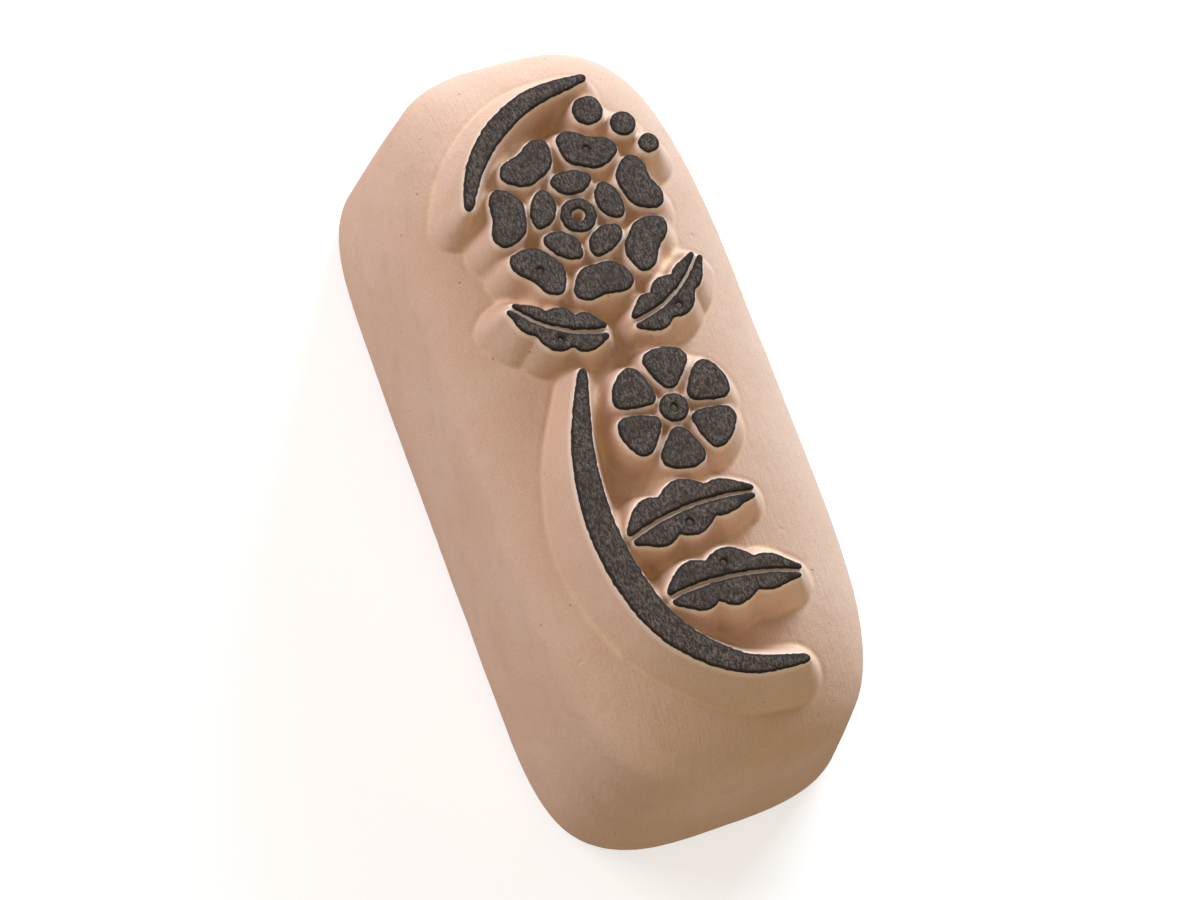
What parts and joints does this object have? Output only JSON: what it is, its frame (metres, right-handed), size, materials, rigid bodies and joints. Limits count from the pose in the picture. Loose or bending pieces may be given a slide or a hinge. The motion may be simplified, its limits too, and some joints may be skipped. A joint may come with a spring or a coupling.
{
  "type": "temporary tattoo stamp",
  "caption": "Hand-held ceramic block stamp with a raised floral relief whose flat dark tops print ink onto skin.",
  "frame": {"origin": "centre of the flat foot that the stamp stands on", "axes": "+Z from the foot to the printing plane, +Y along the block towards the large bloom, +X to its right"},
  "size_m": [0.0396, 0.0896, 0.0375],
  "materials": {
    "stone": "matte, porous, unglazed",
    "printing_face": "dark, ink-soaked, matte"
  },
  "bodies": {
    "root": {"berry_1": "printing_face", "berry_2": "printing_face", "berry_3": "printing_face", "crescent_face": "printing_face", "large_bloom_centre": "printing_face", "large_bloom_inner_1": "printing_face", "large_bloom_inner_2": "printing_face", "large_bloom_inner_3": "printing_face", "large_bloom_inner_4": "printing_face", "large_bloom_inner_5": "printing_face", "large_bloom_outer_1": "printing_face", "large_bloom_outer_2": "printing_face", "large_bloom_outer_3": "printing_face", "large_bloom_outer_4": "printing_face", "large_bloom_outer_5": "printing_face", "large_bloom_outer_6": "printing_face", "large_bloom_outer_7": "printing_face", "left_leaf_left": "printing_face", "left_leaf_right": "printing_face", "middle_leaf_left": "printing_face", "middle_leaf_right": "printing_face", "near_leaf_left": "printing_face", "near_leaf_right": "printing_face", "right_leaf_left": "printing_face", "right_leaf_right": "printing_face", "small_bloom_centre": "printing_face", "small_bloom_petal_1": "printing_face", "small_bloom_petal_2": "printing_face", "small_bloom_petal_3": "printing_face", "small_bloom_petal_4": "printing_face", "small_bloom_petal_5": "printing_face", "small_bloom_petal_6": "printing_face", "stone_body": "stone", "vine_face": "printing_face"}
  },
  "joints": []
}
